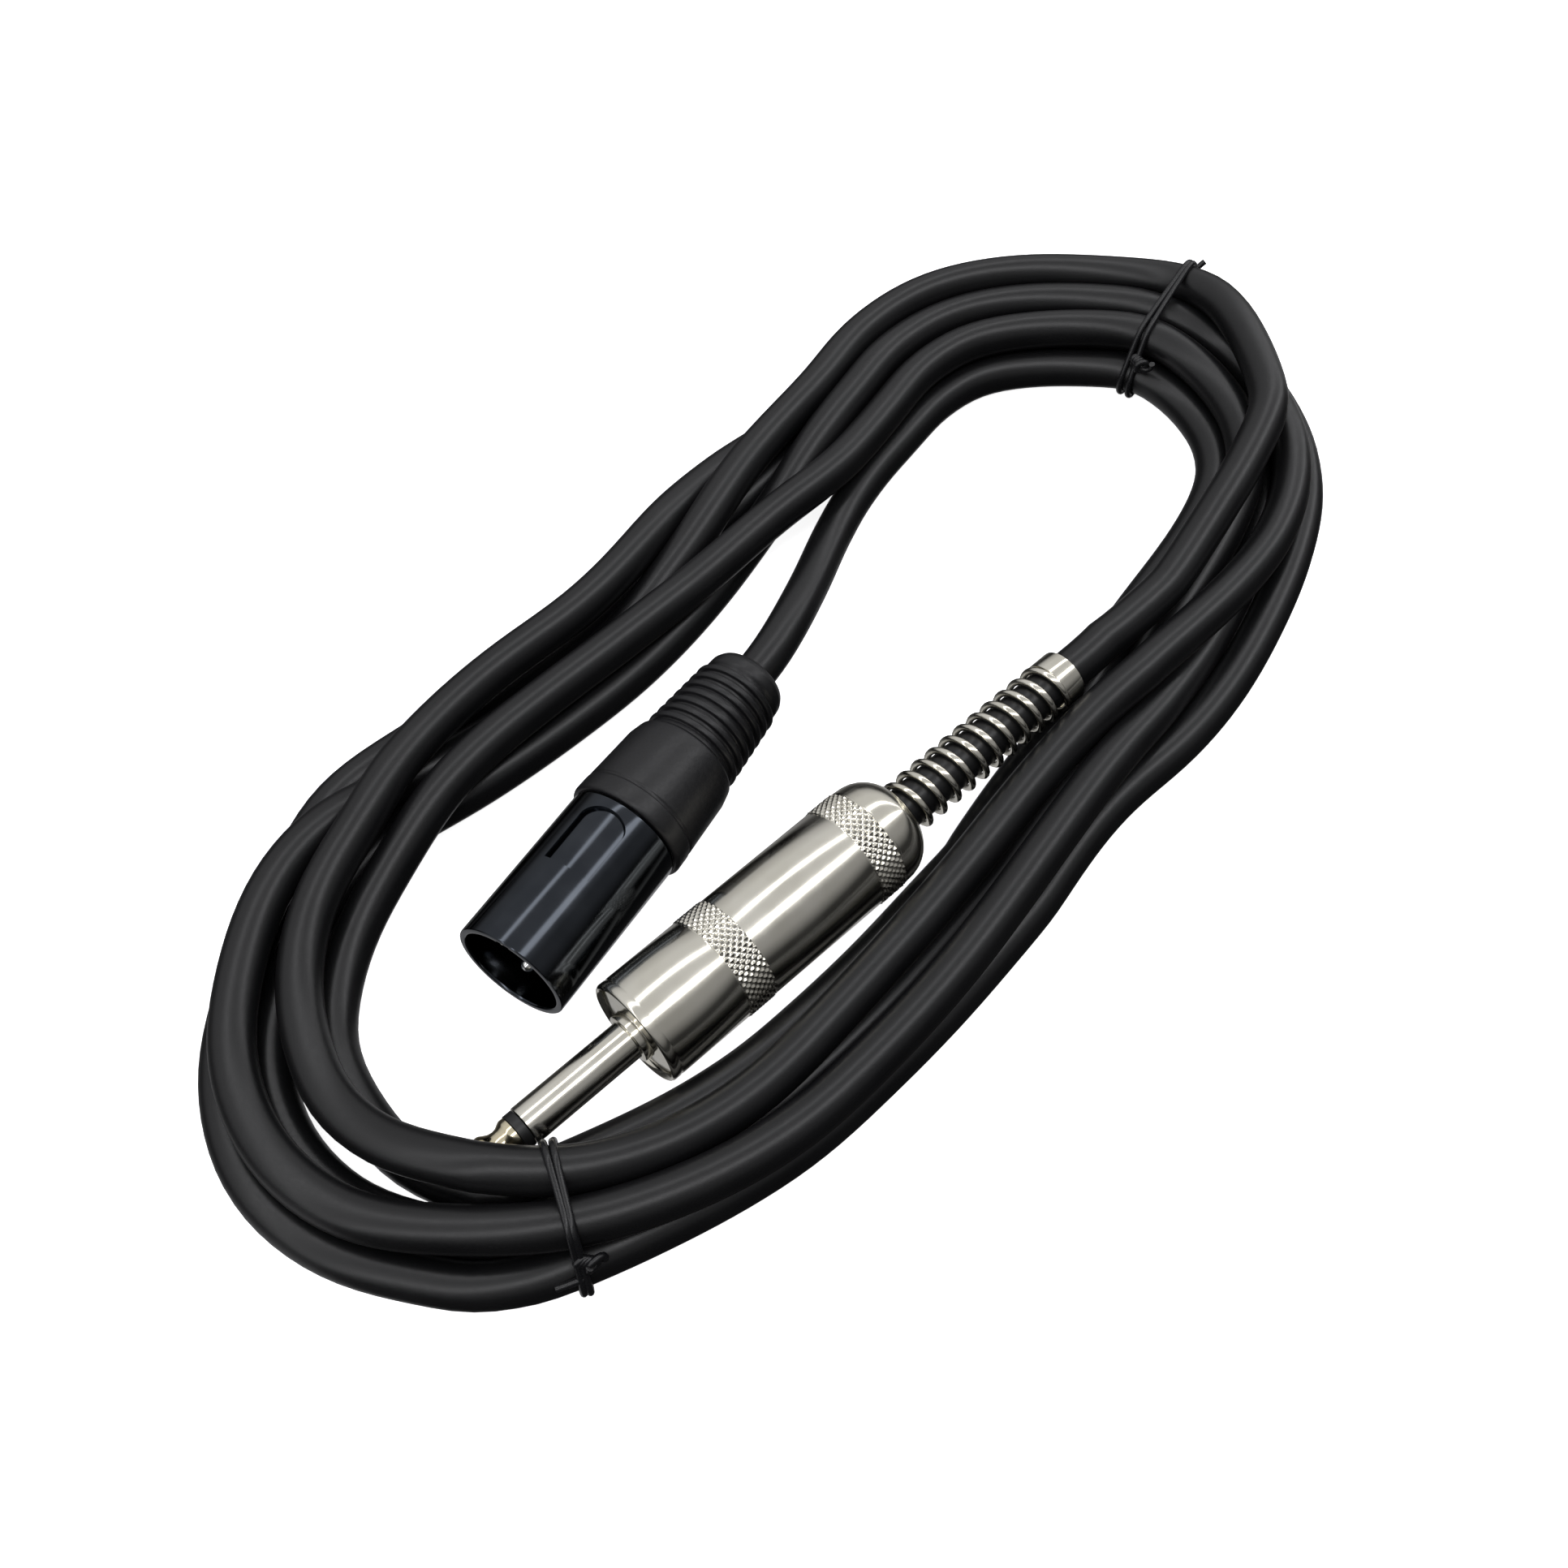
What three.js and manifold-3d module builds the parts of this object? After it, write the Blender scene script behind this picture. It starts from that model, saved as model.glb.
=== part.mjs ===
// A coiled microphone lead: a male XLR plug, a 6.35 mm jack plug and the cable between them.
// Millimetres. +Z is up, z = 0 is the table. +X runs along the XLR plug, from its pins to its cable.
import * as THREE from 'three';
import { mergeVertices } from 'three/addons/utils/BufferGeometryUtils.js';
import Module from 'manifold-3d';

const wasm = await Module();
wasm.setup();

// Driving dimensions
const GAP = 0.3;                    // between pieces that rest on or run through each other
const CORD_R = 3.5;                 // half of the 7 mm cable
const XLR_AT = [-33.6, 18.9, 10.2];  // centre of the XLR mouth
const JACK_AT = [-60.6, 5.4, 8.07];  // end of the jack's tip
const JACK_YAW = -14;               // degrees from the XLR plug
const JACK_RISE = 1.5;              // degrees, so that the spring clears the cable under it
const SHELL_R = 9.5;
const SHELL_BORE_R = 8.3;
const PIN_R = 1.2;
const PIN_SPOTS = [[-3.6, 1.0], [3.6, 1.0], [0, -3.6]];
const SHAFT_R = 3.175;
const BARREL_R = 8.9;
const BARREL_FROM = 31.4;
const BARREL_TO = 84.4;
const SPRING_TO = 124.0;
const WIRE_R = 0.45;                // the spring's own wire
const SPRING_MEAN_R = 4.2;

const COLOURS = {
  black_chrome: [0x15161a, 0.18, 0.9],
  black_plastic: [0x141414, 0.6, 0.0],
  black_rubber: [0x171718, 0.7, 0.0],
  nickel: [0xc9c4ba, 0.15, 1.0],
  gilt: [0xc8a862, 0.2, 1.0],
  silver: [0xd2d2d0, 0.25, 1.0],
  clear_plastic: [0xb8b4a8, 0.5, 0.0],
  jacket: [0x1b1b1e, 0.45, 0.0],
  red_core: [0x9a2020, 0.5, 0.0],
  white_core: [0xd8d8d4, 0.5, 0.0],
  bare_copper: [0xb87333, 0.35, 1.0],
  tie_plastic: [0x101012, 0.4, 0.0],
};

const group = new THREE.Group();
group.name = 'xlr_cable_coil';

// A closed solid with shared corners and its faces turned out
function closed(geometry) {
  const plain = geometry.index ? geometry.toNonIndexed() : geometry;
  plain.deleteAttribute('normal');
  plain.deleteAttribute('uv');
  const merged = mergeVertices(plain, 1e-4);
  const at = merged.attributes.position;
  const index = Array.from(merged.index.array);
  const kept = [];
  let volume = 0;
  const a = new THREE.Vector3();
  const b = new THREE.Vector3();
  const c = new THREE.Vector3();
  for (let i = 0; i < index.length; i += 3) {
    const [p, q, r] = index.slice(i, i + 3);
    if (p === q || q === r || r === p) continue;
    kept.push(p, q, r);
    a.fromBufferAttribute(at, p);
    b.fromBufferAttribute(at, q);
    c.fromBufferAttribute(at, r);
    volume += a.dot(b.cross(c)) / 6;
  }
  if (volume < 0) {
    for (let i = 0; i < kept.length; i += 3) [kept[i], kept[i + 1]] = [kept[i + 1], kept[i]];
  }
  merged.setIndex(kept);
  return merged;
}

function toManifold(geometry) {
  const solid = closed(geometry);
  return new wasm.Manifold(new wasm.Mesh({
    numProp: 3,
    vertProperties: new Float32Array(solid.attributes.position.array),
    triVerts: new Uint32Array(solid.index.array),
  }));
}

function fromManifold(manifold) {
  const mesh = manifold.getMesh();
  const geometry = new THREE.BufferGeometry();
  geometry.setAttribute('position', new THREE.BufferAttribute(new Float32Array(mesh.vertProperties), 3));
  geometry.setIndex(Array.from(mesh.triVerts));
  return geometry;
}

function cut(geometry, tools) {
  let body = toManifold(geometry);
  for (const tool of tools) body = body.subtract(toManifold(tool));
  return fromManifold(body);
}

function join(geometries) {
  let body = toManifold(geometries[0]);
  for (const other of geometries.slice(1)) body = body.add(toManifold(other));
  return fromManifold(body);
}

// A solid of revolution about +X from a profile of [x, radius] pairs
function turned(profile, sides) {
  const points = profile.map(([x, radius]) => new THREE.Vector2(radius, x));
  const geometry = new THREE.LatheGeometry(points, sides);
  geometry.rotateZ(-Math.PI / 2);
  return geometry;
}

// A turned tube: the profile closes on itself
function ring(profile, sides) {
  return turned([...profile, profile[0]], sides);
}

function rod(from, to, radius, sides) {
  return turned([[from, 0], [from, radius], [to, radius], [to, 0]], sides);
}

function box(low, high) {
  const geometry = new THREE.BoxGeometry(high[0] - low[0], high[1] - low[1], high[2] - low[2]);
  geometry.translate((low[0] + high[0]) / 2, (low[1] + high[1]) / 2, (low[2] + high[2]) / 2);
  return geometry;
}

// A round bar along a list of points
function bar(points, radius, sides, steps) {
  const outline = new THREE.Shape();
  for (let i = 0; i < sides; i += 1) {
    const turn = (2 * Math.PI * i) / sides;
    const x = radius * Math.cos(turn);
    const y = radius * Math.sin(turn);
    if (i === 0) outline.moveTo(x, y);
    else outline.lineTo(x, y);
  }
  outline.closePath();
  const path = new THREE.CatmullRomCurve3(points.map((p) => new THREE.Vector3(...p)), false, 'centripetal');
  return new THREE.ExtrudeGeometry(outline, { steps, bevelEnabled: false, extrudePath: path });
}

function placeOnXlr(geometry) {
  geometry.translate(...XLR_AT);
  return geometry;
}

const JACK_FRAME = new THREE.Matrix4()
  .makeTranslation(...JACK_AT)
  .multiply(new THREE.Matrix4().makeRotationZ(THREE.MathUtils.degToRad(JACK_YAW)))
  .multiply(new THREE.Matrix4().makeRotationY(THREE.MathUtils.degToRad(-JACK_RISE)));

function placeOnJack(geometry) {
  geometry.applyMatrix4(JACK_FRAME);
  return geometry;
}

// Where a point on the jack's axis lies in the row's frame
function onJack(x, y = 0, z = 0) {
  return new THREE.Vector3(x, y, z).applyMatrix4(JACK_FRAME).toArray();
}

function onXlr(x, y = 0, z = 0) {
  return [XLR_AT[0] + x, XLR_AT[1] + y, XLR_AT[2] + z];
}

function add(name, geometry, look) {
  const [colour, roughness, metalness] = COLOURS[look];
  const material = new THREE.MeshStandardMaterial({ color: colour, roughness, metalness });
  const mesh = new THREE.Mesh(closed(geometry), material);
  mesh.name = name;
  group.add(mesh);
}

// XLR plug. The shell: an open mouth, a latch flat on top, a narrower threaded tail inside the nut.
function xlrShell() {
  const tube = ring([
    [0, SHELL_BORE_R + 0.15], [0.2, SHELL_BORE_R], [27, SHELL_BORE_R], [27, 6.9], [40, 6.9],
    [40, 7.6], [28.4, 7.6], [28.4, SHELL_R], [0.3, SHELL_R], [0, SHELL_R - 0.2],
  ], 36);
  const latchFlat = box([15, -4, 9.05], [26.5, 4, 12]);
  const key = box([1.5, -1.1, 7.9], [8, 1.1, 8.75]);
  return cut(tube, [latchFlat, key]);
}

function xlrInsert() {
  const disc = rod(15, 26.7, SHELL_BORE_R - GAP, 32);
  const holes = PIN_SPOTS.map(([y, z]) => rod(14, 30, PIN_R + GAP, 12).translate(0, y, z));
  return cut(disc, [...holes, box([14, 5.0, 0.2], [30, 9, 2.6])]);
}

// A contact pin: rounded tip, body and an open solder cup at the back
function xlrPin([y, z]) {
  const pin = turned([
    [2.6, 0], [2.7, 0.6], [3.4, PIN_R], [34, PIN_R], [36, PIN_R], [36, 0.8], [32.5, 0.8], [32.5, 0],
  ], 12);
  return pin.translate(0, y, z);
}

function xlrGroundContact() {
  return box([16, 5.4, 0.8], [26.4, 7.4, 1.9]);
}

// The collet that grips the cable's jacket
function xlrChuck() {
  const sleeve = ring([
    [40.6, CORD_R + GAP], [58, CORD_R + GAP], [58, 5.2], [54, 5.9], [43.5, 5.9], [43.5, 7.2], [40.6, 7.2],
  ], 24);
  const slots = [box([49, -0.5, -8], [59, 0.5, 8]), box([49, -8, -0.5], [59, 8, 0.5])];
  return cut(sleeve, slots);
}

function xlrGlandNut() {
  return ring([
    [29, 7.9], [44, 7.9], [44, 6.2], [53, 6.2], [54, 7.0], [47, 7.3], [44, 8.3], [29, 8.8],
  ], 28);
}

// The boot: a collar, a tapering grip, seven ribs and a flared end
function xlrBoot() {
  const outside = [[28.8, 9.9], [29.4, 10.2], [32.2, 10.0], [33, 9.7], [38, 9.6], [42.5, 9.4], [45.2, 8.8]];
  const ribs = 7;
  const pitch = 2.0;
  for (let i = 0; i < ribs; i += 1) {
    const x = 46.2 + i * pitch;
    const radius = 8.5 - i * 0.13;
    outside.push([x, radius - 0.6], [x + 0.6, radius - 0.6], [x + 1.3, radius]);
  }
  outside.push([60.6, 6.9], [61.2, 7.3], [63.2, 7.0], [64.5, 6.0]);
  const inside = [[64.5, CORD_R + GAP], [58.6, CORD_R + GAP], [58.6, 6.0], [54.6, 6.5], [54.6, 7.25],
    [47.2, 7.6], [44.2, 8.6], [28.8, 9.1]];
  return ring([...outside, ...inside], 28);
}

function buildXlr() {
  add('xlr_shell', placeOnXlr(xlrShell()), 'black_chrome');
  add('xlr_insert', placeOnXlr(xlrInsert()), 'black_plastic');
  PIN_SPOTS.forEach((spot, i) => add(`xlr_pin_${i + 1}`, placeOnXlr(xlrPin(spot)), 'silver'));
  add('xlr_ground_contact', placeOnXlr(xlrGroundContact()), 'silver');
  add('xlr_chuck', placeOnXlr(xlrChuck()), 'black_plastic');
  add('xlr_gland_nut', placeOnXlr(xlrGlandNut()), 'black_plastic');
  add('xlr_boot', placeOnXlr(xlrBoot()), 'black_rubber');
  const hot = [onXlr(36.6, 3.6, 1), onXlr(38.5, 3.2, 0.9), onXlr(40.6, 1.8, 0.6), onXlr(42.2, 1.6, 0.6)];
  const shield = [onXlr(36.6, -3.6, 1), onXlr(38.5, -3.2, 0.9), onXlr(40.6, -1.8, 0.6), onXlr(42.2, -1.6, 0.6)];
  const link = [onXlr(36.6, 0, -3.6), onXlr(38.5, 0, -3.3), onXlr(40.6, 0, -1.9), onXlr(42.2, 0, -1.7)];
  add('xlr_wire_hot', bar(hot, 0.6, 6, 8), 'red_core');
  add('xlr_wire_shield', bar(shield, 0.6, 6, 8), 'bare_copper');
  add('xlr_wire_link', bar(link, 0.5, 6, 8), 'white_core');
}

// Jack plug. The tip and its rod run through the whole plug to the solder lug.
function jackTip() {
  return turned([
    [0, 0], [0, 0.9], [0.9, 1.7], [2.0, 2.6], [3.0, SHAFT_R], [3.7, SHAFT_R], [5.0, 2.45], [6.2, 2.3],
    [7.2, 2.9], [8.0, 2.9], [8.0, 1.2], [46.5, 1.2], [46.5, 0],
  ], 20);
}

function jackTipInsulator() {
  return ring([
    [8.3, 1.5], [8.3, SHAFT_R - 0.1], [9.4, SHAFT_R - 0.1], [9.4, 2.2], [43.4, 2.2], [43.4, 1.5],
  ], 20);
}

function jackSleeve() {
  return ring([
    [9.7, 2.5], [9.7, SHAFT_R], [30.2, SHAFT_R], [30.2, 3.9], [31.2, 3.9], [31.2, BARREL_R - 2.4],
    [31.8, BARREL_R - 1.2], [33.4, BARREL_R - 1.2], [33.4, BARREL_R - 1.9], [42, BARREL_R - 1.9],
    [42, 2.5],
  ], 28);
}

function jackRearInsulator() {
  return ring([[42.3, 2.5], [42.3, 5.6], [43.4, 5.6], [43.4, 2.5]], 20);
}

function jackTipLug() {
  const plate = join([rod(43.7, 44.5, 3.4, 16), box([43.7, -1.6, 2.4], [44.5, 1.6, 4.4]),
    box([43.7, -1.6, 3.6], [52, 1.6, 4.4])]);
  return cut(plate, [rod(43, 45, 1.5, 12)]);
}

function jackSleeveLug() {
  return join([box([42.3, -2.2, -6.9], [62, 2.2, -6.1]), box([60.6, -2.2, -6.4], [61.4, 2.2, -4.0])]);
}

function jackLiner() {
  return ring([[44.0, 7.4], [44.0, 8.0], [80, 8.0], [80, 7.4]], 28);
}

function jackBarrel() {
  return ring([
    [BARREL_FROM, BARREL_R - 0.9], [BARREL_FROM + 0.7, BARREL_R], [45, BARREL_R], [45.3, BARREL_R + 0.15],
    [50.4, BARREL_R + 0.15], [50.7, BARREL_R], [72.3, BARREL_R], [72.6, BARREL_R + 0.15],
    [77.4, BARREL_R + 0.15], [77.7, BARREL_R], [81, BARREL_R - 0.3], [83.2, BARREL_R - 1.3],
    [BARREL_TO, BARREL_R - 2.8], [BARREL_TO, 5.0], [80.6, 5.0], [80.6, 8.25], [43.4, 8.25],
    [43.4, BARREL_R - 1.5], [34.0, BARREL_R - 1.5], [34.0, 8.0], [BARREL_FROM, 8.0],
  ], 32);
}

// The strain relief: an open spring that tightens into a closed band at the end
function jackSpring() {
  const turns = 10;
  const from = BARREL_TO - 2.4;
  const band = SPRING_TO - 5;
  const points = [];
  const perTurn = 10;
  for (let i = 0; i <= turns * perTurn; i += 1) {
    const angle = (2 * Math.PI * i) / perTurn;
    const x = from + 0.6 + ((band - from) * i) / (turns * perTurn);
    points.push([x, SPRING_MEAN_R * Math.cos(angle), SPRING_MEAN_R * Math.sin(angle)]);
  }
  const coil = bar(points, WIRE_R, 6, turns * 12);
  const foot = ring([[from, 3.8], [from + 1.2, 3.8], [from + 1.2, 4.65], [from, 4.65]], 20);
  const end = ring([[band, 3.8], [SPRING_TO, 3.8], [SPRING_TO, 4.6], [band, 4.65]], 20);
  return join([coil, foot, end]);
}

function buildJack() {
  add('jack_tip', placeOnJack(jackTip()), 'gilt');
  add('jack_tip_insulator', placeOnJack(jackTipInsulator()), 'black_plastic');
  add('jack_sleeve', placeOnJack(jackSleeve()), 'nickel');
  add('jack_rear_insulator', placeOnJack(jackRearInsulator()), 'black_plastic');
  add('jack_tip_lug', placeOnJack(jackTipLug()), 'silver');
  add('jack_sleeve_lug', placeOnJack(jackSleeveLug()), 'silver');
  add('jack_liner', placeOnJack(jackLiner()), 'clear_plastic');
  add('jack_barrel', placeOnJack(jackBarrel()), 'nickel');
  add('jack_spring', placeOnJack(jackSpring()), 'nickel');
  const hot = [onJack(52.4, 0, 4), onJack(56, 0, 3.2), onJack(60, 0, 1.2), onJack(63.4, 0, 1)];
  const shield = [onJack(62.3, 0, -5), onJack(62.4, 0, -4), onJack(62.7, 0, -2.8), onJack(63.5, 0, -2)];
  add('jack_wire_hot', bar(hot, 0.7, 6, 8), 'red_core');
  add('jack_wire_shield', bar(shield, 0.6, 6, 6), 'bare_copper');
}

// The bundle's middle line as [x, y], its half width, and how far its underside is off the table.
// It goes round in the cable's direction, from the XLR lead's side to the far end and back.
const COIL_STATIONS = [
  [70, 41, 8.0, 0], [93, 37.5, 11.0, 0], [109, 37, 12.4, 0], [123, 33, 12.2, 0], [134, 24, 13.0, 0],
  [142, 12, 13.0, 0.8], [145.3, 0, 13.0, 1.7], [142, -13.5, 12.5, 0.8], [133, -25.5, 10.5, 0],
  [122, -32.5, 10.2, 0], [109, -35.5, 10.0, 0], [94, -36.5, 9.8, 0], [76, -36, 9.6, 0], [53, -33.8, 9.2, 0],
  [28.5, -32.5, 8.6, 0], [4.5, -31.2, 8.6, 0], [-14, -28.8, 8.6, 0], [-30, -25.3, 8.5, 0],
  [-45, -18.8, 8.5, 0.8], [-58, -9.5, 9.2, 1.7], [-67, 3.8, 10.6, 0.8], [-71, 16, 12.4, 0],
  [-69.5, 28.5, 12.6, 0], [-63.5, 39.5, 12.0, 0], [-54, 47, 10.6, 0], [-40, 53, 9.6, 0],
  [-22, 55, 8.8, 0], [-6, 53, 8.2, 0], [10, 49.8, 8.2, 0], [27.5, 46, 8.6, 0], [46.6, 43, 8.4, 0],
];
const COIL_HEIGHT = 13.2;           // two layers of cable, nested
const NEAR_TIE_STATION = 19;
const FAR_TIE_STATION = 6;
const TIE_THICKNESS = 1.1;
const TIE_WIDTH = 2.2;

const coilLine = new THREE.CatmullRomCurve3(
  COIL_STATIONS.map(([x, y]) => new THREE.Vector3(x, y, 0)), true, 'centripetal');
const coilSizes = new THREE.CatmullRomCurve3(
  COIL_STATIONS.map(([, , width, base]) => new THREE.Vector3(width, base, 0)), true, 'centripetal');

// The bundle's outline across its line, as [sideways, up] pairs, grown by a margin
function coilOutline(width, base, margin) {
  const side = width + margin;
  const low = base - margin;
  const high = COIL_HEIGHT + base * 0.4 + margin;
  return [
    [-side, low + 2.2], [-side + 2.2, low], [side - 2.2, low], [side, low + 2.2],
    [side, high - 3.4], [side - 3.4, high], [-side + 3.4, high], [-side, high - 3.4],
  ];
}

// The place, direction and sideways direction of the bundle at a fraction of its way round
function coilFrame(u) {
  const at = coilLine.getPoint(u);
  const along = coilLine.getTangent(u);
  const side = new THREE.Vector3(along.y, -along.x, 0);
  return { at, along, side };
}

function coilBody() {
  const count = COIL_STATIONS.length * 2;
  const positions = [];
  const index = [];
  for (let i = 0; i < count; i += 1) {
    const u = i / count;
    const { at, side } = coilFrame(u);
    const size = coilSizes.getPoint(u);
    const outline = coilOutline(size.x, Math.max(size.y, 0), 0);
    for (const [across, up] of outline) {
      positions.push(at.x + side.x * across, at.y + side.y * across, up);
    }
    for (let j = 0; j < outline.length; j += 1) {
      const here = i * outline.length;
      const next = ((i + 1) % count) * outline.length;
      const k = (j + 1) % outline.length;
      index.push(here + j, here + k, next + k, here + j, next + k, next + j);
    }
  }
  const geometry = new THREE.BufferGeometry();
  geometry.setAttribute('position', new THREE.Float32BufferAttribute(positions, 3));
  geometry.setIndex(index);
  return geometry;
}

// A wire tie: a flat band round the bundle
function tieBand(station) {
  const u = station / COIL_STATIONS.length;
  const [, , width, base] = COIL_STATIONS[station];
  const toPath = (path, points) => {
    points.forEach(([x, y], i) => (i === 0 ? path.moveTo(x, y) : path.lineTo(x, y)));
    path.closePath();
    return path;
  };
  const band = toPath(new THREE.Shape(), coilOutline(width, base, GAP + TIE_THICKNESS));
  band.holes.push(toPath(new THREE.Path(), coilOutline(width, base, GAP)));
  const geometry = new THREE.ExtrudeGeometry(band, { depth: TIE_WIDTH, bevelEnabled: false });
  geometry.translate(0, 0, -TIE_WIDTH / 2);
  const { at, along, side } = coilFrame(u);
  const up = new THREE.Vector3(0, 0, 1);
  const basis = new THREE.Matrix4().makeBasis(side, up, new THREE.Vector3().crossVectors(side, up));
  if (basis.determinant() < 0) throw new Error(`the tie's frame is left-handed along ${along.toArray()}`);
  geometry.applyMatrix4(basis);
  geometry.translate(at.x, at.y, 0);
  return geometry;
}

// The cable's free stretches run straight out of the plugs, so that boot and barrel can slide back on them
const XLR_LEAD = [
  onXlr(42.8), onXlr(52), onXlr(61), onXlr(70), [45.5, 20.0, 9.4], [57, 22.9, 6.6], [68, 26.1, 4.4],
  [78, 28.2, 3.7], [88, 29.2, 3.6],
];
const JACK_LEAD = [
  onJack(64), onJack(80), onJack(96), onJack(112), onJack(130), [76, -28.6, 11.9], [88, -30.2, 11.6],
  [100, -30.7, 11.2], [111, -30.3, 10.9], [121, -28.8, 10.6],
];

function buildCable() {
  const lead = (points, radius, extra) => {
    const [last, before] = [points[points.length - 1], points[points.length - 2]];
    const step = last.map((v, i) => v - before[i]);
    const length = Math.hypot(...step);
    const end = last.map((v, i) => v + (step[i] / length) * extra);
    return bar(extra > 0 ? [...points, end] : points, radius, 10, 30);
  };
  const spring = placeOnJack(rod(80, SPRING_TO + 6, 5.1, 16));
  const barrel = placeOnJack(rod(BARREL_FROM, BARREL_TO + 6, BARREL_R + 0.5, 24));
  const tip = placeOnJack(rod(-0.5, BARREL_FROM, SHAFT_R + GAP, 16));
  const clear = [lead(XLR_LEAD, CORD_R + GAP, GAP), lead(JACK_LEAD, CORD_R + GAP, GAP), spring, barrel, tip];
  add('cable_coil', cut(coilBody(), clear), 'jacket');
  add('cable_lead_xlr', lead(XLR_LEAD, CORD_R, 0), 'jacket');
  add('cable_lead_jack', lead(JACK_LEAD, CORD_R, 0), 'jacket');
  add('tie_near', tieBand(NEAR_TIE_STATION), 'tie_plastic');
  add('tie_far', tieBand(FAR_TIE_STATION), 'tie_plastic');
}

buildXlr();
buildJack();
buildCable();

export default group;
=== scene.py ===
"""Looks of the XLR-to-jack cable coil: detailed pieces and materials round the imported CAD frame."""

import math

import bmesh
import bpy
import numpy as np
from mathutils import Matrix, Vector
from mathutils.geometry import convex_hull_2d


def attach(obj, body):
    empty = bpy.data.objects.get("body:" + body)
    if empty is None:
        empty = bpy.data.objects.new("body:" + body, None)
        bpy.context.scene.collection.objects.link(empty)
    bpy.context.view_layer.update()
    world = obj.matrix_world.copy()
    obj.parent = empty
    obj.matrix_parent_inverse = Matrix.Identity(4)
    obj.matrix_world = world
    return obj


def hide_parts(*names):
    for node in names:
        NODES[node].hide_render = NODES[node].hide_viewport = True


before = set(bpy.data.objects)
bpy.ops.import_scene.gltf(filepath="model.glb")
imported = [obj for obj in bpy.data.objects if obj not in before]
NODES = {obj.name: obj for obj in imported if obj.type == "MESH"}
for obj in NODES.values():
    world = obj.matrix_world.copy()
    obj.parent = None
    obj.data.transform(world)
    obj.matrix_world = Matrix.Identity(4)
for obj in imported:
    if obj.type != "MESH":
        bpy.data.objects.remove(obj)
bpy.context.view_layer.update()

# All sizes are written in millimetres and scaled once, where a mesh or curve is made.
MM = 0.001

# ---- named values: the camera ----
CAMERA_AT = (-109.5, -78.7, 241.3)
CAMERA_AIM = (21.9, 6.6, 0.0)
LENS = 39.93
SENSOR = 36.0

# ---- named values: the light and the white surroundings ----
# The dome's strips, as (degrees from straight up towards the near side, brightness)
DOME_STRIPS = (
    (-180, 0.35), (-150, 0.30), (-120, 0.05), (-105, 0.02), (-92, 0.06), (-80, 0.34), (-57, 0.50),
    (-36, 0.50), (-29, 0.55), (-27, 3.2), (-23, 3.2), (-20, 0.45), (3, 0.48), (11, 0.50), (14, 3.2),
    (21, 3.2), (25, 0.45), (37, 0.24), (55, 0.22), (69, 0.12), (80, 0.02), (175, 0.02),
)
DOME_STRENGTH = 1.2
LIGHT_SIZE = (0.35, 1.1)
LIGHT_AIM = (0.02, 0, 0)
FLOOR_HALF = 2.5
FLOOR_GLOW = 0.9
WALL = ((-1, 2400), (3000, 2600))

# ---- named values: the plugs ----
XLR_AT = (-33.6, 18.9, 10.2)
JACK_AT = (-60.6, 5.4, 8.07)
JACK_YAW = math.radians(-14)
JACK_RISE = math.radians(1.5)
SHELL_R = 9.5
SHELL_BORE_R = 8.3
XLR_EXIT = 64.5
LATCH_FROM = 15.2
LATCH_ARC_AT = 24.2
LATCH_ARC_REACH = 2.6
LATCH_HALF_WIDTH = 4.0
LATCH_FLOOR_R = 8.85
PIN_R = 1.2
PIN_SPOTS = ((-3.6, 1.0), (3.6, 1.0), (0.0, -3.6))
SHAFT_R = 3.175
BARREL_R = 8.9
BARREL_FROM = 30.1
BARREL_TO = 84.2
KNURL_BANDS = ((45.3, 50.4), (72.6, 77.4))
KNURL_ROUND = 46
KNURL_DEPTH = 0.34
SPRING_FROM = 82.6
SPRING_BAND = 119.0
SPRING_TO = 123.0
SPRING_TURNS = 11.5
SPRING_MEAN_R = 4.2
SPRING_WIRE_R = 0.58
BAND_BORE_R = 3.8
BAND_R = 4.6
RIB_COUNT = 7
RIB_FROM = 46.2
RIB_PITCH = 2.0
RIB_DEPTH = 0.75

# ---- named values: the cable ----
CORD_R = 3.5
POINT_STEP = 2.5
SETTLE_STEPS = 150
SINK_STOPS_BEFORE_END = 30
PULL_STOPS_BEFORE_END = 50
SINK = 0.02
PULL = 0.985
PUSH_SHARE = 0.3
SAME_STRAND_POINTS = 9
HELD_AT_START = 15
HELD_AT_END = 25
RELEASE_POINTS = 10
NEAR_TIE = 19
FAR_TIE = 6
TIE_LIFT = 1.4
TIE_WIRE_R = 0.56
KNOT_LENGTH = 4.5
KNOT_TWISTS = 2.6

# The coil's middle line as (x, y), one entry a station, in the cable's direction
STATIONS = (
    (70, 42), (93, 38), (109, 37), (123, 33), (134, 24), (142, 12), (145.3, 0), (142, -13.5),
    (133, -25.5), (122, -32.5), (109, -35.5), (94, -36.5), (76, -36), (53, -33.8), (28.5, -32.5),
    (4.5, -31.2), (-14, -28.8), (-30, -25.3), (-45, -18.8), (-58, -9.5), (-67, 3.8), (-71, 16),
    (-69.5, 28.5), (-63.5, 39.5), (-54, 47), (-40, 53), (-22, 55), (-6, 53.5), (10, 51),
    (27.5, 47.5), (46.6, 44.5),
)

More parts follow.
